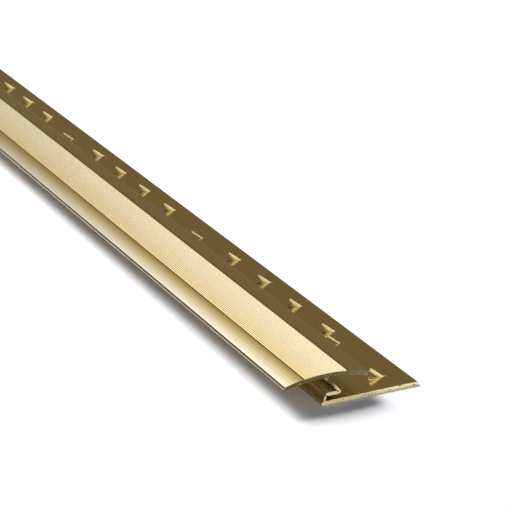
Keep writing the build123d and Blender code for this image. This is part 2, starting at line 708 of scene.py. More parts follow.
    def _nose_runs(self) -> list[Run]:
        """The base's underside, the nose, the wall and the step's top.

        Returns:
            The runs in order.
        """
        thick = self.base_thick
        low_right, low_left = point(self.flat_end, 0), point(self.nose_tuck, 0)
        nose, foot = point(0, thick / 2), point(self.wall_foot, thick)
        shoulder = point(self.wall_foot + self.wall_lean, self.step_top)
        nose_low = rounded(low_right, low_left, nose, self.nose_round)
        nose_tip = rounded(low_left, nose, foot, self.nose_round)
        bend = rounded(foot, shoulder, self.step_stop, self.shoulder_round, self.bend_steps)
        return [
            Run(Face.PLATE, evenly(low_right, nose_low[0], self.grain), Kind.FLAT_LOW),
            Run(Face.LINK, join(nose_low, nose_tip, foot)),
            Run(Face.LINK, join(foot, bend)),
            Run(Face.CHANNEL, evenly(bend[-1], self.step_stop, self.step_grain)),
        ]

    def _leg_runs(self) -> list[Run]:
        """The hinge's notch and the leg's left face up to the cover.

        Returns:
            The runs in order.
        """
        foot, head, way = self._leg_line()
        side = point(-way[1], way[0])
        notch = point(self.step_end - self.notch_end, self.step_top - self.notch_depth)
        web = foot + side * self.hinge_web
        cut = foot + way * self.leg_cut + side * self.leg_thick
        nib = head - way * 2 * self.leg_groove + side * self.leg_thick
        groove = head - way * self.leg_groove + side * self.leg_web
        slope = unit(groove - nib)
        bulge = self.nib_size / 2
        nib_ends = nib - way * bulge, nib + slope * bulge
        nib_arc = arc_through(nib_ends[0], nib + side * bulge, nib_ends[1], self.nib_steps)
        top = self._meet_under(groove, way)
        return [
            Run(Face.LINK, join(self.step_stop, notch, web, cut)),
            Run(Face.CHANNEL, join(cut, nib_arc, groove, top)),
        ]

    def _lip(self) -> tuple[np.ndarray, np.ndarray]:
        """The rolled left lip of the cover.

        Its bow's radius is the squared distance from its low end to its nose
        divided by twice the distance across.

        Returns:
            The bow from its low end to its nose, and the bevel's top.
        """
        lip_x = -self.cover_overhang
        top = self.arch_at(lip_x + self.lip_bevel)
        nose = point(lip_x, top[1] - self.lip_face)
        low = point(lip_x + self.lip_bead / 2, top[1] - self.lip_height)
        drop = nose - low
        bow = (drop @ drop) / (2 * (low - nose)[0])
        centre = nose + point(bow, 0)
        turn = math.atan2(*(low - centre)[::-1]) % (2 * math.pi)
        return arc(centre, bow, turn, math.pi, self.lip_steps), top

    def _strip(self, start_x: float) -> np.ndarray:
        """The plain strip, which rolls over at its edge towards the flutes.

        Args:
            start_x: Where it starts, at the lip.

        Returns:
            Array of shape (n, 2).
        """
        end = self.band_turn + self.strip_gap * self.ridge_turn
        across = self.strip_roll * (math.sin(self.strip_lean) + math.sin(end))
        turn = -end - across / self.cover_radius
        turns = np.linspace(self._turn_at(start_x), turn, self.strip_points)
        plain = self.arch(self.cover_radius, turns)
        crown = point(math.sin(turn), math.cos(turn))
        edge = arc(
            plain[-1] - crown * self.strip_roll,
            self.strip_roll,
            math.pi / 2 - turn,
            math.pi / 2 - self.strip_lean,
            self.roll_steps,
        )
        return join(plain, edge[1:])

    def _crests(self) -> list[np.ndarray]:
        """The ridges between the flutes, each an arc from groove to groove.

        Returns:
            The points of each ridge, from the strip to the flange.
        """
        deep = self.cover_radius - self.flute_depth
        return [
            arc_through(
                self.arch(deep, turn),
                self.arch(self.cover_radius, turn + self.ridge_turn / 2),
                self.arch(deep, turn + self.ridge_turn),
                self.ridge_steps,
            )
            for turn in np.arange(self.flute_count) * self.ridge_turn - self.band_turn
        ]

    def _cover_runs(self, leg_left: np.ndarray, leg_right: np.ndarray) -> list[Run]:
        """The cover, from the leg's left side round to its right side.

        Args:
            leg_left: Where the leg's left face meets the underside.
            leg_right: Where its right face does.

        Returns:
            The runs in order.
        """
        end_low, _, bead = self._under_points()
        lip, lip_top = self._lip()
        strip, crests = self._strip(lip_top[0]), self._crests()
        end_x = self.cover_width - self.cover_overhang
        edge = self.band_turn + self.flange_gap * self.ridge_turn
        turns = np.linspace(edge, self._turn_at(end_x), self.flange_points)
        flange = self.arch(self.cover_radius, turns)[:-1]
        end_top = self.arch_at(end_x)
        end_high = rounded(flange[-1], end_top, end_low, self.end_round / 2)
        inside = self._cover_under(end_low[0] - 1, end_low[0] - 1, 1)[0]
        end_under = rounded(end_top, end_low, inside, self.end_round)
        under = self._cover_under(end_under[-1][0], leg_right[0], self.under_right)
        # Flute runs are the grooves between ridges, painted dark as shade.
        fluted = [(Face.FLUTE, join(strip[-1], crests[0][0]))]
        for crest in crests:
            fluted.append((Face.FLUTE, crest[:2]))
            fluted.append((Face.RIDGE, crest[1:-1]))
            fluted.append((Face.FLUTE, crest[-2:]))
        parts = [
            (Face.UNDER, self._cover_under(leg_left[0], bead[0], self.under_left)),
            # The lip's lower bow and bevel, the line before the flange and the flange's rounded
            # end are painted dark: painted shade.
            (Face.PIT, join(bead, lip[: self.lip_shaded + 1])),
            (Face.LIP, lip[self.lip_shaded :]),
            (Face.PIT, join(lip[-1], lip_top)),
            (Face.STRIP, strip),
            *fluted,
            (Face.PIT, join(crests[-1][-1], flange[:2])),
            (Face.FLANGE, join(flange[1:], end_high[0])),
            (Face.PIT, end_high),
            (Face.UNDER, join(end_high[-1], end_under)),
            (Face.UNDER, join(end_under[-1], under[1:])),
        ]
        return [Run(finish, points) for finish, points in parts]

    def _hinge_runs(self, leg_right: np.ndarray) -> list[Run]:
        """The leg's right face, the inside of the hinges and the base's top.

        Args:
            leg_right: Where the leg's right face meets the underside.

        Returns:
            The runs in order.
        """
        thick, gap = self.base_thick, self.groove_half
        foot = self._leg_line()[0]
        low = self.step_top - self.step_thick
        hinge = arc_through(
            foot,
            point(self.step_end, self.step_top - self.step_thick / 3),
            point(self.step_end - self.hinge_round, low + self.hinge_lobe),
            self.hinge_steps,
        )
        top_x = self.wall_foot + self.wall_lean
        inside = [
            point(self.step_end - self.lobe_run, low - self.hinge_lobe),
            point(top_x + self.bend_web + gap, low),
            point(top_x + self.bend_web - gap, low + self.shoulder_groove),
            point(top_x + gap, low),
        ]
        belly_x = self.wall_foot + self.wall_lean / 4 + self.wall_thick
        belly = point(belly_x, thick + self.belly_rise)
        inner_foot = point(self.wall_foot + self.bend_web, thick)
        top_right = point(self.flat_end, thick)
        middle = point(self.flat_end, thick / 2)
        edge = arc(middle, thick / 2, math.pi / 2, -math.pi / 2, self.edge_steps)
        return [
            Run(Face.LINK, evenly(leg_right, foot, self.leg_grain)),
            Run(Face.LINK, join(hinge, inside)),
            Run(Face.LINK, join(inside[-1], belly, inner_foot)),
            Run(Face.PLATE, evenly(inner_foot, top_right, self.grain), Kind.FLAT_TOP),
            Run(Face.PLATE, join(top_right, edge[1:-1], point(self.flat_end, 0))),
        ]

    def runs(self) -> list[Run]:
        """The outline's runs, clockwise as seen from the near end.

        Returns:
            The runs, from the base's underside once round to its right edge.
        """
        foot, _, way = self._leg_line()
        leg = self._leg_runs()
        leg_left, leg_right = leg[-1].points[-1], self._meet_under(foot, way)
        cover = self._cover_runs(leg_left, leg_right)
        return [*self._nose_runs(), *leg, *cover, *self._hinge_runs(leg_right)]


@dataclass
class Crater:
    """A torn opening in the base: rings round it from the plate to its bottom.

    Ring k is the polar curve r = (|cos a / p|^n + |sin a / q|^n)^(-1 / n), with
    p and q the half length and half width plus the ring's offset. The rim
    stands higher on one side: low_side + high_side * (1 + cos(a + lean)) / 2,
    plus a ragged part. A ring starts at a share of a turn, at the lower left.
    """

    half_length: float
    half_width: float
    pointed: float
    rings: tuple[Span, ...]
    through: bool
    tear: float
    rim_rings: int
    steps: int
    low_side: float = 0.3
    high_side: float = 0.65
    ragged: float = 0.2
    least: float = 0.2
    lean: float = 0.6
    lobes: int = 3
    lobe_turn: Span = (0.0, 6.0)
    start: float = -3 / 8

    def build(
        self,
        panels: Panels,
        centre: np.ndarray,
        heading: float,
        cell: Cell,
        top: float,
        finish: Face,
        rng: np.random.Generator,
    ) -> None:
        """Add the opening, its rim and the flat plate round it.

        Args:
            panels: Where the faces go.
            centre: Middle of the opening, seen from above.
            heading: Direction of its length, in radians.
            cell: The plate's cell that it lies in, as x0, x1, y0, y1.
            top: Height of the plate's upper face.
            finish: The rim's finish.
            rng: Source of the tears.
        """
        angle = (np.arange(self.steps) / self.steps + self.start) * 2 * np.pi
        own = angle - heading
        ragged = rng.normal(0.0, 1.0, self.steps)
        ragged = (ragged + np.roll(ragged, 1)) / 2
        behind = 0.5 + 0.5 * np.cos(own + self.lean)
        tall = self.low_side + self.high_side * behind + self.ragged * ragged
        tall = np.clip(tall, self.least, 1.0)
        wave = np.cos(self.lobes * angle + rng.uniform(*self.lobe_turn)) * self.tear
        loops = []
        for offset, height in self.rings:
            p, q = self.half_length + offset, self.half_width + offset
            shape = np.abs(np.cos(own) / p) ** self.pointed
            shape = shape + np.abs(np.sin(own) / q) ** self.pointed
            radius = shape ** (-1 / self.pointed) + wave * (height != 0)
            x = centre[0] + radius * np.cos(angle)
            y = centre[1] + radius * np.sin(angle)
            z = top + height * (tall if height > 0 else np.ones(self.steps))
            loops.append(np.column_stack([x, y, z]))
        rings = np.stack(loops, axis=1)
        panels.grid(rings[:, : self.rim_rings], finish, closed=True)
        # Below the rim the walls, and the bottom, get the dark finish: painted shade.
        panels.grid(rings[:, self.rim_rings - 1 :], Face.PIT, closed=True)
        self._surround(panels, rings[:, 0], cell, False)
        if self.through:
            self._surround(panels, rings[:, -1], cell, True)
        else:
            panels.flat(rings[:, -1], Face.PIT)

    def _surround(self, panels: Panels, ring: np.ndarray, cell: Cell, under: bool) -> None:
        """Fill the cell round a ring with four flat faces, one to a side.

        Args:
            panels: Where the faces go.
            ring: Points of the ring, which starts towards the lower left corner.
            cell: The cell, as x0, x1, y0, y1.
            under: Whether the faces look down.
        """
        x0, x1, y0, y1 = cell
        z = ring[0, 2]
        quarter = self.steps // 4
        corners = np.array([[x0, y0, z], [x1, y0, z], [x1, y1, z], [x0, y1, z]])
        for side in range(4):
            span = (np.arange(quarter + 1) + side * quarter) % self.steps
            outline = join(corners[side], corners[(side + 1) % 4], ring[span[::-1]])
            panels.flat(outline[::-1] if under else outline, Face.PLATE)


@dataclass
class Tooth:
    """A gripper tooth in mm, from its root along its heading."""

    reach: float = 4.6
    rise: float = 3.0
    arch: float = 1.85
    tail_run: float = 0.6
    tail_rise: float = 0.3
    tip_slant: float = 0.28
    sink: float = 0.3
    slim_half: float = 0.56
    leaf_half: float = 0.62
    leaf_taper: float = 0.24
    leaf_depth: Triple = (0.84, 0.26, 0.74)
    leaf_middle: float = 0.85
    strip_depth: Triple = (1.22, 0.44, 0.16)
    sliver_share: float = 0.42
    depth_spread: Span = (0.94, 1.06)
    width_spread: Span = (0.95, 1.05)
    twist: Span = (-0.03, 0.03)
    corner_power: float = 0.45
    tail_steps: int = 8
    back_steps: int = 24
    steps: int = 22
    around: int = 16

    def build(
        self,
        panels: Panels,
        root: np.ndarray,
        heading: float,
        form: Blade,
        rng: np.random.Generator,
    ) -> None:
        """Add one blade as a closed shell that runs a little into the plate.

        The blade is a row of cross sections. Section s has its upper end on
        the tail and back, and its lower end square below, as deep as the form
        says. Between them it is a rounded box: middle + half height * c + half
        width * d, where c and d are the cosine and sine of the way round, each
        raised to a power below one.

        Args:
            panels: Where the faces go.
            root: The root on the plate, three numbers.
            heading: Direction of the blade, in radians.
            form: Parallel strip, leaf or sliver.
            rng: Source of small differences between teeth.
        """
        s = np.linspace(0, 1, self.steps + 1)
        bow = point(self.tail_run / 3, self.tail_rise / 2)
        tail_end = point(self.tail_run, self.tail_rise)
        tail = arc_through(point(0, 0), bow, tail_end, self.tail_steps)
        crown = point((self.tail_run + self.reach) / 2, self.arch)
        tip = point(self.reach - self.tip_slant, self.rise)
        back = arc_through(tail[-1], crown, tip, self.back_steps)
        upper = self._along(join(tail, back[1:]), s)
        ahead = np.gradient(upper, axis=0)
        ahead /= np.linalg.norm(ahead, axis=1)[:, None]
        below = np.column_stack([ahead[:, 1], -ahead[:, 0]])
        deep = self._depth(form, s) * rng.uniform(*self.depth_spread)
        lower = upper + below * deep[:, None]
        lower[:, 1] = np.maximum(lower[:, 1], -self.sink)
        leaf = form is Blade.LEAF
        half = self.leaf_half - self.leaf_taper * s**3 if leaf else np.full(len(s), self.slim_half)
        half = half * rng.uniform(*self.width_spread)

        way = np.arange(self.around) / self.around * 2 * np.pi
        high = np.sign(np.cos(way)) * np.abs(np.cos(way)) ** self.corner_power
        wide = np.sign(np.sin(way)) * np.abs(np.sin(way)) ** self.corner_power
        middle, rise = (upper + lower) / 2, (upper - lower) / 2
        along = middle[None, :, 0] + rise[None, :, 0] * high[:, None]
        up = middle[None, :, 1] + rise[None, :, 1] * high[:, None]
        across = wide[:, None] * half[None, :] + rng.uniform(*self.twist) * s[None, :] ** 2
        cos, sin = math.cos(heading), math.sin(heading)
        x = root[0] + along * cos - across * sin
        y = root[1] + along * sin + across * cos
        shell = np.stack([x, y, root[2] + up], axis=-1)
        panels.grid(shell[::-1], Face.TOOTH, closed=True)
        panels.flat(shell[:, 0], Face.TOOTH)
        panels.flat(shell[::-1, -1], Face.CUT)

    def _depth(self, form: Blade, s: np.ndarray) -> np.ndarray:
        """Depth of the blade below its back, at shares of its length.

        With a, b, c the form's three depths, a strip is even and a little
        thinner at its ends, a - b * (1 - s) ** 4 - c * s ** 6, and a sliver is
        a thin strip. A leaf swells to the middle: a - b * s + c * sin(pi * s ** m).

        Args:
            form: Parallel strip, leaf or sliver.
            s: Shares of the length, from 0 at the root.

        Returns:
            The depths in mm.
        """
        if form is Blade.LEAF:
            a, b, c = self.leaf_depth
            return a - b * s + c * np.sin(np.pi * s**self.leaf_middle)
        a, b, c = self.strip_depth
        even = a - b * (1 - s) ** 4 - c * s**6
        return even if form is Blade.STRIP else self.sliver_share * even

    def _along(self, line: np.ndarray, share: np.ndarray) -> np.ndarray:
        """Points at given shares of a line's length.

        Args:
            line: Points of shape (n, 2).
            share: Shares from 0 to 1.

        Returns:
            Array of shape (len(share), 2).
        """
        runs = np.linalg.norm(np.diff(line, axis=0), axis=1)
        far = np.concatenate([[0], np.cumsum(runs)])
        return np.column_stack([np.interp(share * far[-1], far, line[:, k]) for k in range(2)])


def almond_hole() -> Crater:
    """The torn, almond-shaped hole that a tooth is raised from.

    Returns:
        The hole, which goes through the plate.
    """
    rim = ((0.36, 0.0), (0.3, 0.16), (0.16, 0.44), (0.07, 0.48), (0.0, 0.36), (0.0, -0.5))
    return Crater(
        half_length=0.85, half_width=0.65, pointed=1.75, rings=(*rim, (0.0, -1.25)),
        through=True, tear=0.03, rim_rings=6, steps=28,
    )


def tail_slit() -> Crater:
    """The short slit behind a tooth.

    Returns:
        The slit, which ends in the plate.
    """
    return Crater(
        half_length=0.38, half_width=0.19, pointed=2.4,
        rings=((0.1, 0.0), (0.06, 0.06), (0.0, 0.0), (-0.02, -0.5)),
        through=False, tear=0.0, rim_rings=3, steps=16,
    )


@dataclass
class DoorBar:
    """The whole bar: its section, its teeth with their holes, and its cut ends.

    The marks are lines along the bar, by their distance from a row of teeth.
    Together with lines across they cut the plate into cells, and a row's hole
    and slit lie in the cells that are numbered for it from the left.
    """

    length: float = 900.0
    tooth_pitch: float = 25.0
    group_teeth: int = 4
    group_step: float = 135.0
    group_first: float = 48.8
    single_ahead: float = 33.3
    pair_near: float = 8.8
    pair_far: float = 39.0
    outer_row: float = 5.1
    inner_row: float = 8.3
    tooth_turn: float = 163.3
    hole_reach: float = 4.6
    hole_side: float = 1.5
    slit_length: float = 0.8
    before: float = 1.3
    behind: float = 1.1
    inner_marks: Span = (-6.45, 1.2)
    outer_marks: tuple[float, ...] = (-6.5, -3.3, -0.3, 1.1)
    inner_cells: tuple[int, int] = (1, 3)
    outer_cells: tuple[int, int] = (2, 5)
    chamfer: float = 0.1
    bevel: float = 0.03
    bevel_uneven: float = 0.03
    nick_share: float = -0.4
    nick_most: float = 2.2
    nick_depth: float = 0.12
    body_crease: float = 32.0
    tooth_crease: float = 40.0
    seed: int = 7
    section: Section = field(default_factory=Section)
    tooth: Tooth = field(default_factory=Tooth)
    hole: Crater = field(default_factory=almond_hole)
    slit: Crater = field(default_factory=tail_slit)

    @property
    def inner_x(self) -> float:
        """X of the inner row of teeth, from the nose."""
        return self.section.base_width - self.inner_row

    @property
    def outer_x(self) -> float:
        """X of the outer row of teeth, from the nose."""
        return self.section.base_width - self.outer_row

    @property
    def marks(self) -> np.ndarray:
        """Lines along the bar between which the holes and slits lie."""
        inner = [self.inner_x + away for away in self.inner_marks]
        return np.sort([*inner, *(self.outer_x + away for away in self.outer_marks)])

    @property
    def turn(self) -> float:
        """Direction of every tooth, in radians."""
        return math.radians(self.tooth_turn)

    def roots(self) -> list[Root]:
        """Where the teeth stand.

        Returns:
            For each tooth its root's X from the nose, its distance from the
            near end, and its form, in order along the bar.
        """
        run = (self.group_teeth - 1) * self.tooth_pitch
        groups = int((self.length - 2 * self.group_first - run) // self.group_step) + 1
        found = []
        for group in range(groups):
            start = self.group_first + group * self.group_step
            found += [
                (self.outer_x, start + count * self.tooth_pitch, Blade.LEAF)
                for count in range(self.group_teeth)
            ]
            if group > 0:
                found.append((self.inner_x, start - self.single_ahead, Blade.SLIVER))
        for inset, form in ((self.pair_near, Blade.STRIP), (self.pair_far, Blade.SLIVER)):
            found.append((self.inner_x, inset, form))
            found.append((self.inner_x, self.length - inset, form))
        return sorted(found, key=itemgetter(1))

    def teeth(self, rng: np.random.Generator) -> bpy.types.Object:
        """Build all gripper teeth as one piece.

        Args:
            rng: Source of the differences between them.

        Returns:
            The teeth, at their places in the frame.
        """
        panels = Panels()
        shift = np.array([self.section.middle, self.length / 2, 0.0])
        for x, y, form in self.roots():
            root = np.array([x, y, self.section.base_thick]) - shift
            self.tooth.build(panels, root, self.turn, form, rng)
        return panels.mesh("gripper_teeth", self.tooth_crease)


class Body:
    """The bar's body while it is built: swept faces, base plate and cut ends."""

    def __init__(self, bar: DoorBar, rng: np.random.Generator) -> None:
        """Lay out the lines across the bar, two beside each tooth.

        Args:
            bar: The bar's sizes.
            rng: Source of the torn and ragged edges.
        """
        self.bar, self.rng = bar, rng
        self.panels = Panels()
        self.runs, self.roots, self.marks = bar.section.runs(), bar.roots(), bar.marks
        near, far = -bar.length / 2, bar.length / 2
        lines = [near + bar.chamfer]
        for _, y, _ in self.roots:
            lines += [near + y - bar.before, near + y + bar.behind]
        self.stations = np.array([*lines, far - bar.chamfer])

    def build(self) -> bpy.types.Object:
        """Add every surface and join them.

        Returns:
            The body, at its place in the frame.
        """
        for run in self.runs:
            if run.kind is Kind.SWEPT:
                x, y = np.meshgrid(run.points[:, 0], self.stations, indexing="ij")
                z = np.broadcast_to(run.points[:, 1:], x.shape)
                self.panels.grid(np.stack([x, y, z], axis=-1), run.finish)
        self._plate()
        self._ends()
        shift = np.array([self.bar.section.middle, 0.0, 0.0])
        self.panels.points = [block - shift for block in self.panels.points]
        return self.panels.mesh("door_bar_metal", self.bar.body_crease)

    def _plate(self) -> None:
        """Add the base's flat faces with their holes and slits.

        A cell with a hole is filled round it, and the cells that touch a cut
        end are left to the ends.
        """
        bar, thick = self.bar, self.bar.section.base_thick
        flats = {run.kind: run.points for run in self.runs}
        starts = (flats[Kind.FLAT_TOP][0, 0], flats[Kind.FLAT_LOW][-1, 0])
        top_x, low_x = (np.array([x, *self.marks, bar.section.flat_end]) for x in starts)
        solid = np.ones((len(top_x) - 1, len(self.stations) - 1), dtype=bool)
        solid[:, [0, -1]] = False
        solid_low = solid.copy()
        way = point(math.cos(bar.turn), math.sin(bar.turn))
        side = point(-way[1], way[0])
        for number, (x, y, form) in enumerate(self.roots):
            # Holes of leaf and sliver teeth get the flutes' dark painted-shade finish on their
            # rims; strip teeth keep bright torn rims.
            rim = Face.TORN if form is Blade.STRIP else Face.FLUTE
            row = 2 * number + 1
            root = point(x, y - bar.length / 2)
            hole_cell, slit_cell = bar.inner_cells if x == bar.inner_x else bar.outer_cells
            solid[[hole_cell, slit_cell], row] = solid_low[hole_cell, row] = False
            spots = (
                (bar.hole, hole_cell, way * bar.hole_reach + side * bar.hole_side),
                (bar.slit, slit_cell, -way * bar.slit_length / 2),
            )
            for crater, column, away in spots:
                cell = (*top_x[column : column + 2], *self.stations[row : row + 2])
                crater.build(self.panels, root + away, bar.turn, cell, thick, rim, self.rng)
        self._face(top_x, thick, solid, True)
        self._face(low_x, 0.0, solid_low, False)

    def _face(self, across: np.ndarray, height: float, keep: np.ndarray, up: bool) -> None:
        """Add one flat face of the base, without the cells that are left out.

        Args:
            across: Lines along the bar, by X.
            height: Height of the face.
            keep: Which cells get a face.
            up: Whether the face looks up.
        """
        x, y = np.meshgrid(across, self.stations, indexing="ij")
        sheet = np.stack([x, y, np.full_like(x, height)], axis=-1)
        order = 1 if up else -1
        self.panels.grid(sheet[::order], Face.PLATE, keep[::order])

    def _with_marks(self, points: np.ndarray) -> np.ndarray:
        """Put the plate's lines among the points of a straight level run.

        Points that come too close to a line are left out, apart from the ends.

        Args:
            points: The run, of shape (n, 2).

        Returns:
            The run with the marks, in the same direction.
        """
        x = np.unique(np.concatenate([points[:, 0], self.marks]))
        near = np.min(np.abs(x[:, None] - self.marks[None, :]), axis=1)
        close = self.bar.section.grain / 4
        x = x[(near == 0) | (near > close) | (x == x[0]) | (x == x[-1])]
        x = x if points[-1, 0] > points[0, 0] else x[::-1]
        return np.column_stack([x, np.full(len(x), points[0, 1])])

    def _outline(self) -> tuple[np.ndarray, np.ndarray, np.ndarray]:
        """The whole outline once round, with the plate's lines in it.

        Returns:
            Its points, which of them lie on the underside, and where each run
            starts.
        """
        parts = [
            run.points if run.kind is Kind.SWEPT else self._with_marks(run.points)
            for run in self.runs
        ]
        counts = [len(points) - 1 for points in parts]
        low = np.repeat([run.kind is Kind.FLAT_LOW for run in self.runs], counts)
        return np.vstack([points[:-1] for points in parts]), low, np.cumsum([0, *counts])

    def _cut(self, loop: np.ndarray, low: np.ndarray, end: int) -> tuple[np.ndarray, np.ndarray]:
        """Draw the outline in at a cut end by a small uneven amount.

        The depth is the bevel, plus its uneven part times a random size, plus
        a nick here and there on the base's underside.

        Args:
            loop: The outline once round.
            low: Which of its points lie on the underside.
            end: -1 at the near end and 1 at the far end.

        Returns:
            The points of the cut, and those where its bevel starts.
        """
        bar = self.bar
        run = np.roll(loop, -1, axis=0) - np.roll(loop, 1, axis=0)
        inward = np.column_stack([run[:, 1], -run[:, 0]])
        inward /= np.linalg.norm(inward, axis=1)[:, None]
        rough = np.abs(self.rng.normal(0.0, 1.0, len(loop)))
        rough = (rough + np.roll(rough, 1)) / 2
        nick = np.clip(self.rng.normal(bar.nick_share, 1.0, len(loop)), 0, bar.nick_most)
        depth = bar.bevel + bar.bevel_uneven * rough
        depth = depth + np.where(low, nick * bar.nick_depth, 0.0)
        cut = np.insert(loop + inward * depth[:, None], 1, end * bar.length / 2, axis=1)
        return cut, np.insert(loop, 1, self.stations[::-end][0], axis=1)

    def _ends(self) -> None:
        """Add the sawn ends, their ragged bevels and the cells beside them.

        The cut is one flat face each for the cover, the leg and the rest.
        """
        loop, low, starts = self._outline()
        under = [number for number, run in enumerate(self.runs) if run.finish is Face.UNDER]
        leg_from, cover_from = starts[under[0] - 1 : under[0] + 1]
        cover_to, leg_to = starts[under[-1] + 1 : under[-1] + 3]
        # The cover's and the leg's parts of the cut get their own finishes, which paint shade on
        # them.
        owner = np.full((len(loop), 1), Face.CUT.value)
        owner[leg_from:leg_to] = Face.LEG_CUT.value
        owner[cover_from:cover_to] = Face.COVER_CUT.value
        for end in ENDS:
            cut, full = self._cut(loop, low, end)
            bevel = np.stack((cut, full)[::-end], axis=1)
            cover = cut[cover_from : cover_to + 1]
            leg = join(cut[leg_from : cover_from + 1], cut[cover_to : leg_to + 1])
            base = join(cut[leg_to:], cut[: leg_from + 1])
            parts = ((cover, Face.COVER_CUT), (leg, Face.LEG_CUT), (base, Face.CUT))
            for part, finish in parts:
                self.panels.grid(bevel, finish, owner == finish.value, closed=True)
                self.panels.flat(part[::end], finish)
            self._beside(end)

    def _beside(self, end: int) -> None:
        """Add the plate's flat cells between an end's many points and its lines.

        Args:
            end: -1 at the near end and 1 at the far end.
        """
        y_in, y_next = self.stations[::-end][:2]
        for _, points, kind in self.runs:
            if kind is Kind.SWEPT:
                continue
            z = points[0, 1]
            xs = np.sort(self._with_marks(points)[:, 0])
            lines = np.array([xs[0], *self.marks, xs[-1]])
            looks_up = kind is Kind.FLAT_TOP
            for x0, x1 in zip(lines[:-1], lines[1:]):
                edge = [[x, y_in, z] for x in xs[(xs >= x0) & (xs <= x1)]]
                outline = np.array([*edge, [x1, y_next, z], [x0, y_next, z]])
                self.panels.flat(outline if looks_up == (end < 0) else outline[::-1], Face.PLATE)


def finishes() -> dict[Face, Finish]:
    """The brass's finishes.

    Returns:
        One finish for each kind of face, in the order of their numbers.
    """
    return {
        # Plate: darker brass under the cover, blending to plain brass from X -3.5 to 6.5 mm:
        # painted shade.
        Face.PLATE: Finish(
            "polished_base", (0.42, 0.35, 0.135), (0.51, 0.4, 0.158), (0.11, 0.19),
            painted_light=(0.765, 0.635, 0.285), painted_light_span=(-3.5, 6.5),
            lines_across=2.2, line_share=0.4, line_relief=0.002, speck_level=0.72,
            speck_relief=0.003,
        ),
        # Links: darker brass than the plate, painted shade under the cover.
        Face.LINK: Finish(
            "polished_links", (0.34, 0.265, 0.105), (0.23, 0.17, 0.06), (0.12, 0.22),
            lines_across=2.5, line_share=0.4, speck_relief=0.003,
        ),
        # Strip: pale cream by the lip, a painted highlight tone, blending into saturated gold
        # towards the flutes.
        Face.STRIP: Finish(
            "satin_strip", (0.68, 0.64, 0.55), (0.6, 0.48, 0.22), (0.1, 0.16),
            painted_light=(0.93, 0.75, 0.28), painted_light_span=(-25.0, -17.5),
            lines_along=0.008, line_share=0.3,
            speck_level=0.8, speck_share=0.0, speck_relief=0.0,
        ),
        # Ridges: pale cream, gold on those nearest the strip and paler from X -16.5 to -9 mm:
        # painted highlight tones.
        Face.RIDGE: Finish(
            "satin_ridges", (0.98, 0.83, 0.46), (0.95, 0.79, 0.46), (0.275, 0.275),
            painted_light=(0.99, 0.89, 0.62), painted_light_span=(-16.5, -9.0),
            lines_across=2.6, lines_along=0.006, line_share=0.15, line_relief=0.0,
            speck_level=0.8, speck_share=0.0, speck_relief=0.0,
        ),
        Face.FLANGE: Finish(
            "polished_flange", (0.87, 0.725, 0.32), (0.62, 0.48, 0.2), (0.06, 0.12),
            lines_across=2.5, line_relief=0.002, speck_level=0.75,
            speck_share=0.2, speck_relief=0.0,
        ),
        Face.LIP: Finish(
            "rolled_lip", (0.58, 0.48, 0.26), (0.42, 0.34, 0.17), (0.12, 0.2),
            lines_across=4.0, speck_relief=0.0,
        ),
        Face.UNDER: Finish(
            "plain_underside", (0.5, 0.37, 0.15), (0.36, 0.25, 0.1), (0.3, 0.4),
            lines_across=2.0, line_share=0.5,
        ),
        Face.CUT: Finish(
            "sawn_end", (1.0, 0.92, 0.62), (0.28, 0.19, 0.07), (0.6, 0.8),
            lines_across=1.4, lines_along=1.4, line_share=0.08, line_relief=0.02,
            speck_scale=1.1, speck_level=0.63, speck_share=0.9, speck_relief=0.06,
        ),
        Face.TORN: Finish(
            "torn_edge", (0.88, 0.76, 0.46), (0.5, 0.4, 0.2), (0.3, 0.45),
            lines_across=4.0, lines_along=3.0, line_share=0.4, line_relief=0.02,
        ),
        Face.TOOTH: Finish(
            "sheared_tooth", (1.0, 0.915, 0.57), (0.98, 0.79, 0.4), (0.45, 0.62),
            lines_across=2.0, lines_along=1.0, line_share=0.25, line_relief=0.01,
            speck_relief=0.005,
        ),
        # Dark brass in hole walls and bottoms, slits, the lip's lower bow and bevel, and the
        # flange's edge lines: painted shade.
        Face.PIT: Finish(
            "painted_shade", (0.15, 0.11, 0.045), (0.09, 0.065, 0.025), (0.35, 0.5),
            lines_along=2.0, line_share=0.5, line_relief=0.02,
        ),
        # Cover's sawn end: near-black brass, darkest under the ridges, a little lighter towards
        # the flange: painted shade.
        Face.COVER_CUT: Finish(
            "cover_end_painted_shade", (0.105, 0.08, 0.033), (0.5, 0.41, 0.2), (0.3, 0.5),
            painted_light=(0.16, 0.13, 0.07), painted_light_span=(-6.0, 2.0),
            lines_across=1.6, lines_along=1.6, line_share=0.1, line_relief=0.02,
            speck_scale=1.8, speck_level=0.62, speck_share=0.8, speck_relief=0.04,
        ),
        # Flute grooves and the rims of leaf and sliver teeth's holes: dark brass, painted shade.
        Face.FLUTE: Finish(
            "flute_painted_shade", (0.3, 0.22, 0.09), (0.22, 0.16, 0.06), (0.3, 0.36),
            lines_across=2.6, line_share=0.3, line_relief=0.0, speck_share=0.0,
        ),
        # Step top and leg's left face: lighter brass than the links, painted light inside the
        # channel under the cover.
        Face.CHANNEL: Finish(
            "channel_face", (0.64, 0.52, 0.26), (0.56, 0.43, 0.2), (0.3, 0.4),
            lines_across=2.5, line_share=0.3, line_relief=0.002, speck_share=0.0,
        ),
        # Leg's sawn end: near black at its top under the cover, bright sawn brass from X -7.6 to
        # -5 mm: painted shade.
        Face.LEG_CUT: Finish(
            "leg_end_shaded_top", (0.14, 0.115, 0.052), (0.28, 0.19, 0.07), (0.5, 0.7),
            painted_light=(1.0, 0.92, 0.62), painted_light_span=(-7.6, -5.0),
            lines_across=1.4, lines_along=1.4, line_share=0.08, line_relief=0.02,
            speck_scale=1.1, speck_level=0.68, speck_share=0.6, speck_relief=0.04,
        ),
    }


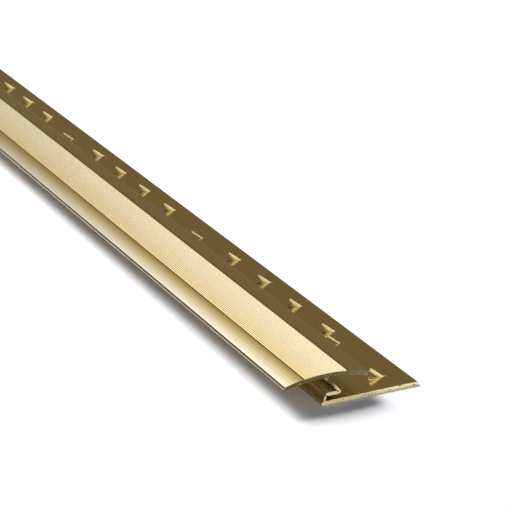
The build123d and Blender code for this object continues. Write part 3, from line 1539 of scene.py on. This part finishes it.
@dataclass
class Studio:
    """The pale floor, the soft light round it and the camera.

    Borders of lit fields are given in degrees of elevation or azimuth, those
    called ahead by the direction's part along the bar, and the floor's in
    metres from its middle.
    """

    floor_size: float = 12.0
    floor_colour: Colour = (0.88, 0.88, 0.9)
    floor_border: Span = (0.5, 1.0)
    floor_glow: Span = (0.03, 0.7)
    room_colour: Colour = (0.6, 0.58, 0.54)
    screen_colour: Colour = (0.188, 0.147, 0.094)
    screen_ahead: Span = (0.58, 0.76)
    fill_colour: Colour = (0.068, 0.08, 0.095)
    ceiling_level: float = 0.3
    ceiling_border: Span = (46, 58)
    wall_level: float = 1.74
    wall_right: Span = (-21.5, -2.5)
    wall_lean: float = 0.8
    wall_left: Span = (-65, -40)
    wall_low: Span = (11, 36)
    wall_high: Span = (46, 54)
    front_level: float = 1.4
    front_ahead: Span = (-0.3, -0.75)
    front_border: Span = (8, 16)
    front_above: float = 0.1
    softbox_size: float = 1.2
    softbox_power: float = 92.0
    softbox_place: Triple = (-0.5, 1.35, 1.7)
    lens: float = 151.31
    sensor: float = 36.0
    clip_start: float = 0.01
    turn: float = 0.4551124
    tilt: float = 0.3732019
    place: Triple = (-304.1875, -1000.0519, 295.7629)

    def build(self) -> None:
        """Make the floor, the light and the camera."""
        self._floor()
        self._surroundings()
        self._softbox()
        self._camera()

    def _softbox(self) -> None:
        """Hang one large softbox above the bar, behind it and to the left."""
        lamp = bpy.data.lights.new("overhead_softbox", "AREA")
        lamp.shape = "SQUARE"
        lamp.size = self.softbox_size
        lamp.energy = self.softbox_power
        holder = linked("overhead_softbox", lamp)
        holder.location = self.softbox_place
        holder.rotation_euler = (-Vector(self.softbox_place)).to_track_quat("-Z", "Y").to_euler()
        holder.visible_glossy = False

    def _floor(self) -> None:
        """Make the floor: matt white, with a little glow where it is seen."""
        half = self.floor_size / 2
        corners = [(-half, -half, 0), (half, -half, 0), (half, half, 0), (-half, half, 0)]
        made = bpy.data.meshes.new("pale_floor")
        made.from_pydata(corners, [], [(0, 1, 2, 3)])
        floor = linked("pale_floor", made)
        paint = bpy.data.materials.new("matt_white_floor")
        paint.use_nodes = True
        tree = paint.node_tree
        tree.nodes.clear()
        away = node(tree, "VectorMath", node(tree, "TexCoord").outputs["Object"])
        away.operation = "LENGTH"
        level = ramp(tree, away.outputs["Value"], self.floor_border, self.floor_glow)
        level = maths(tree, "MULTIPLY", self._seen(tree), level)
        matt = node(tree, "BsdfDiffuse", self.floor_colour).outputs[0]
        glow = node(tree, "Emission", WHITE, level).outputs[0]
        node(tree, "OutputMaterial", node(tree, "AddShader", matt, glow).outputs[0])
        made.materials.append(paint)

    def _seen(self, tree: Tree) -> Socket:
        """Tell the rays that see a surface from those that only light it.

        Args:
            tree: The material's node tree.

        Returns:
            One for camera, glossy and transmission rays, nought for the rest.
        """
        rays = node(tree, "LightPath").outputs
        seen = maths(tree, "MAXIMUM", rays["Is Camera Ray"], rays["Is Glossy Ray"])
        return maths(tree, "MAXIMUM", seen, rays["Is Transmission Ray"])

    def _bright(self, tree: Tree, way: bpy.types.NodeOutputs, matt: Socket) -> Socket:
        """Level of the lit fields in a direction.

        It is the largest of a ceiling above an elevation, a bright wall
        behind and to the left between two azimuths, whose right border leans,
        and a low strip in front, each with soft borders.

        Args:
            tree: The world's node tree.
            way: The three parts of the direction.
            matt: The socket that is one for rays from matt surfaces.

        Returns:
            The level's socket.
        """
        azimuth = maths(tree, "ARCTAN2", way["X"], way["Y"])
        raised = maths(tree, "ARCSINE", way["Z"])
        ceiling = ramp(tree, raised, radians(self.ceiling_border), (0.0, self.ceiling_level))
        ceiling = maths(tree, "MULTIPLY", ceiling, maths(tree, "SUBTRACT", 1.0, matt))
        leaning = maths(tree, "MULTIPLY_ADD", raised, -self.wall_lean, azimuth)
        wall = ramp(tree, leaning, radians(self.wall_right), (1.0, 0.0))
        for value, border, levels in (
            (azimuth, self.wall_left, (0.0, 1.0)),
            (raised, self.wall_low, (0.0, self.wall_level)),
            (raised, self.wall_high, (1.0, 0.0)),
        ):
            wall = maths(tree, "MULTIPLY", wall, ramp(tree, value, radians(border), levels))
        front = ramp(tree, way["Y"], self.front_ahead, (0.0, self.front_level))
        low = ramp(tree, raised, radians(self.front_border), (1.0, self.front_above))
        front = maths(tree, "MULTIPLY", front, low)
        return maths(tree, "MAXIMUM", maths(tree, "MAXIMUM", ceiling, wall), front)

    def _surroundings(self) -> None:
        """Light the scene from a soft studio all round it.

        The level in a direction is that of the room, which is dim where a
        warm screen stands behind the bar, plus that of the lit fields. Matt
        surfaces get a cool, dim fill in the room's place, and the camera sees
        plain white.
        """
        world = bpy.data.worlds.new("soft_studio")
        bpy.context.scene.world = world
        world.use_nodes = True
        tree = world.node_tree
        tree.nodes.clear()
        way = node(tree, "SeparateXYZ", node(tree, "TexCoord").outputs["Generated"]).outputs
        rays = node(tree, "LightPath").outputs
        matt = rays["Is Diffuse Ray"]
        screen = ramp(tree, way["Y"], self.screen_ahead, (0.0, 1.0))
        walls = blend(tree, screen, self.room_colour, self.screen_colour)
        lit = node(tree, "Background", WHITE, self._bright(tree, way, matt))
        room = node(tree, "Background", blend(tree, matt, walls, self.fill_colour))
        both = node(tree, "AddShader", lit.outputs[0], room.outputs[0])
        white = node(tree, "Background", WHITE)
        seen = node(tree, "MixShader", rays["Is Camera Ray"], both.outputs[0], white.outputs[0])
        node(tree, "OutputWorld", seen.outputs[0])

    def _camera(self) -> None:
        """Set the camera at the picture's angle, level and without shift."""
        data = bpy.data.cameras.new("picture_camera")
        data.lens = self.lens
        data.sensor_width = self.sensor
        data.clip_start = self.clip_start
        camera = linked("picture_camera", data)
        level = math.cos(self.tilt)
        ahead, right = math.cos(self.turn) * level, math.sin(self.turn) * level
        look = Vector((right, ahead, -math.sin(self.tilt)))
        camera.location = Vector(self.place) * MM
        camera.rotation_euler = look.to_track_quat("-Z", "Y").to_euler()
        bpy.context.scene.camera = camera


def main() -> None:
    """Build the studio and the bar, dress it and report each piece."""
    logging.basicConfig(level=logging.INFO, format="%(name)s: %(message)s")
    scene = bpy.context.scene
    scene.view_settings.view_transform = "Standard"
    Studio().build()
    bar = DoorBar()
    rng = np.random.default_rng(bar.seed)
    table = finishes()
    dressed = [table[face].material() for face in Face]
    body = Body(bar, rng).build()
    teeth = bar.teeth(rng)
    for piece in (body, teeth):
        for material in dressed:
            piece.data.materials.append(material)
        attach(piece, "root")
        LOG.info("%s: %d faces", piece.name, len(piece.data.polygons))
    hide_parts("door_bar")


if __name__ == "__main__":
    main()
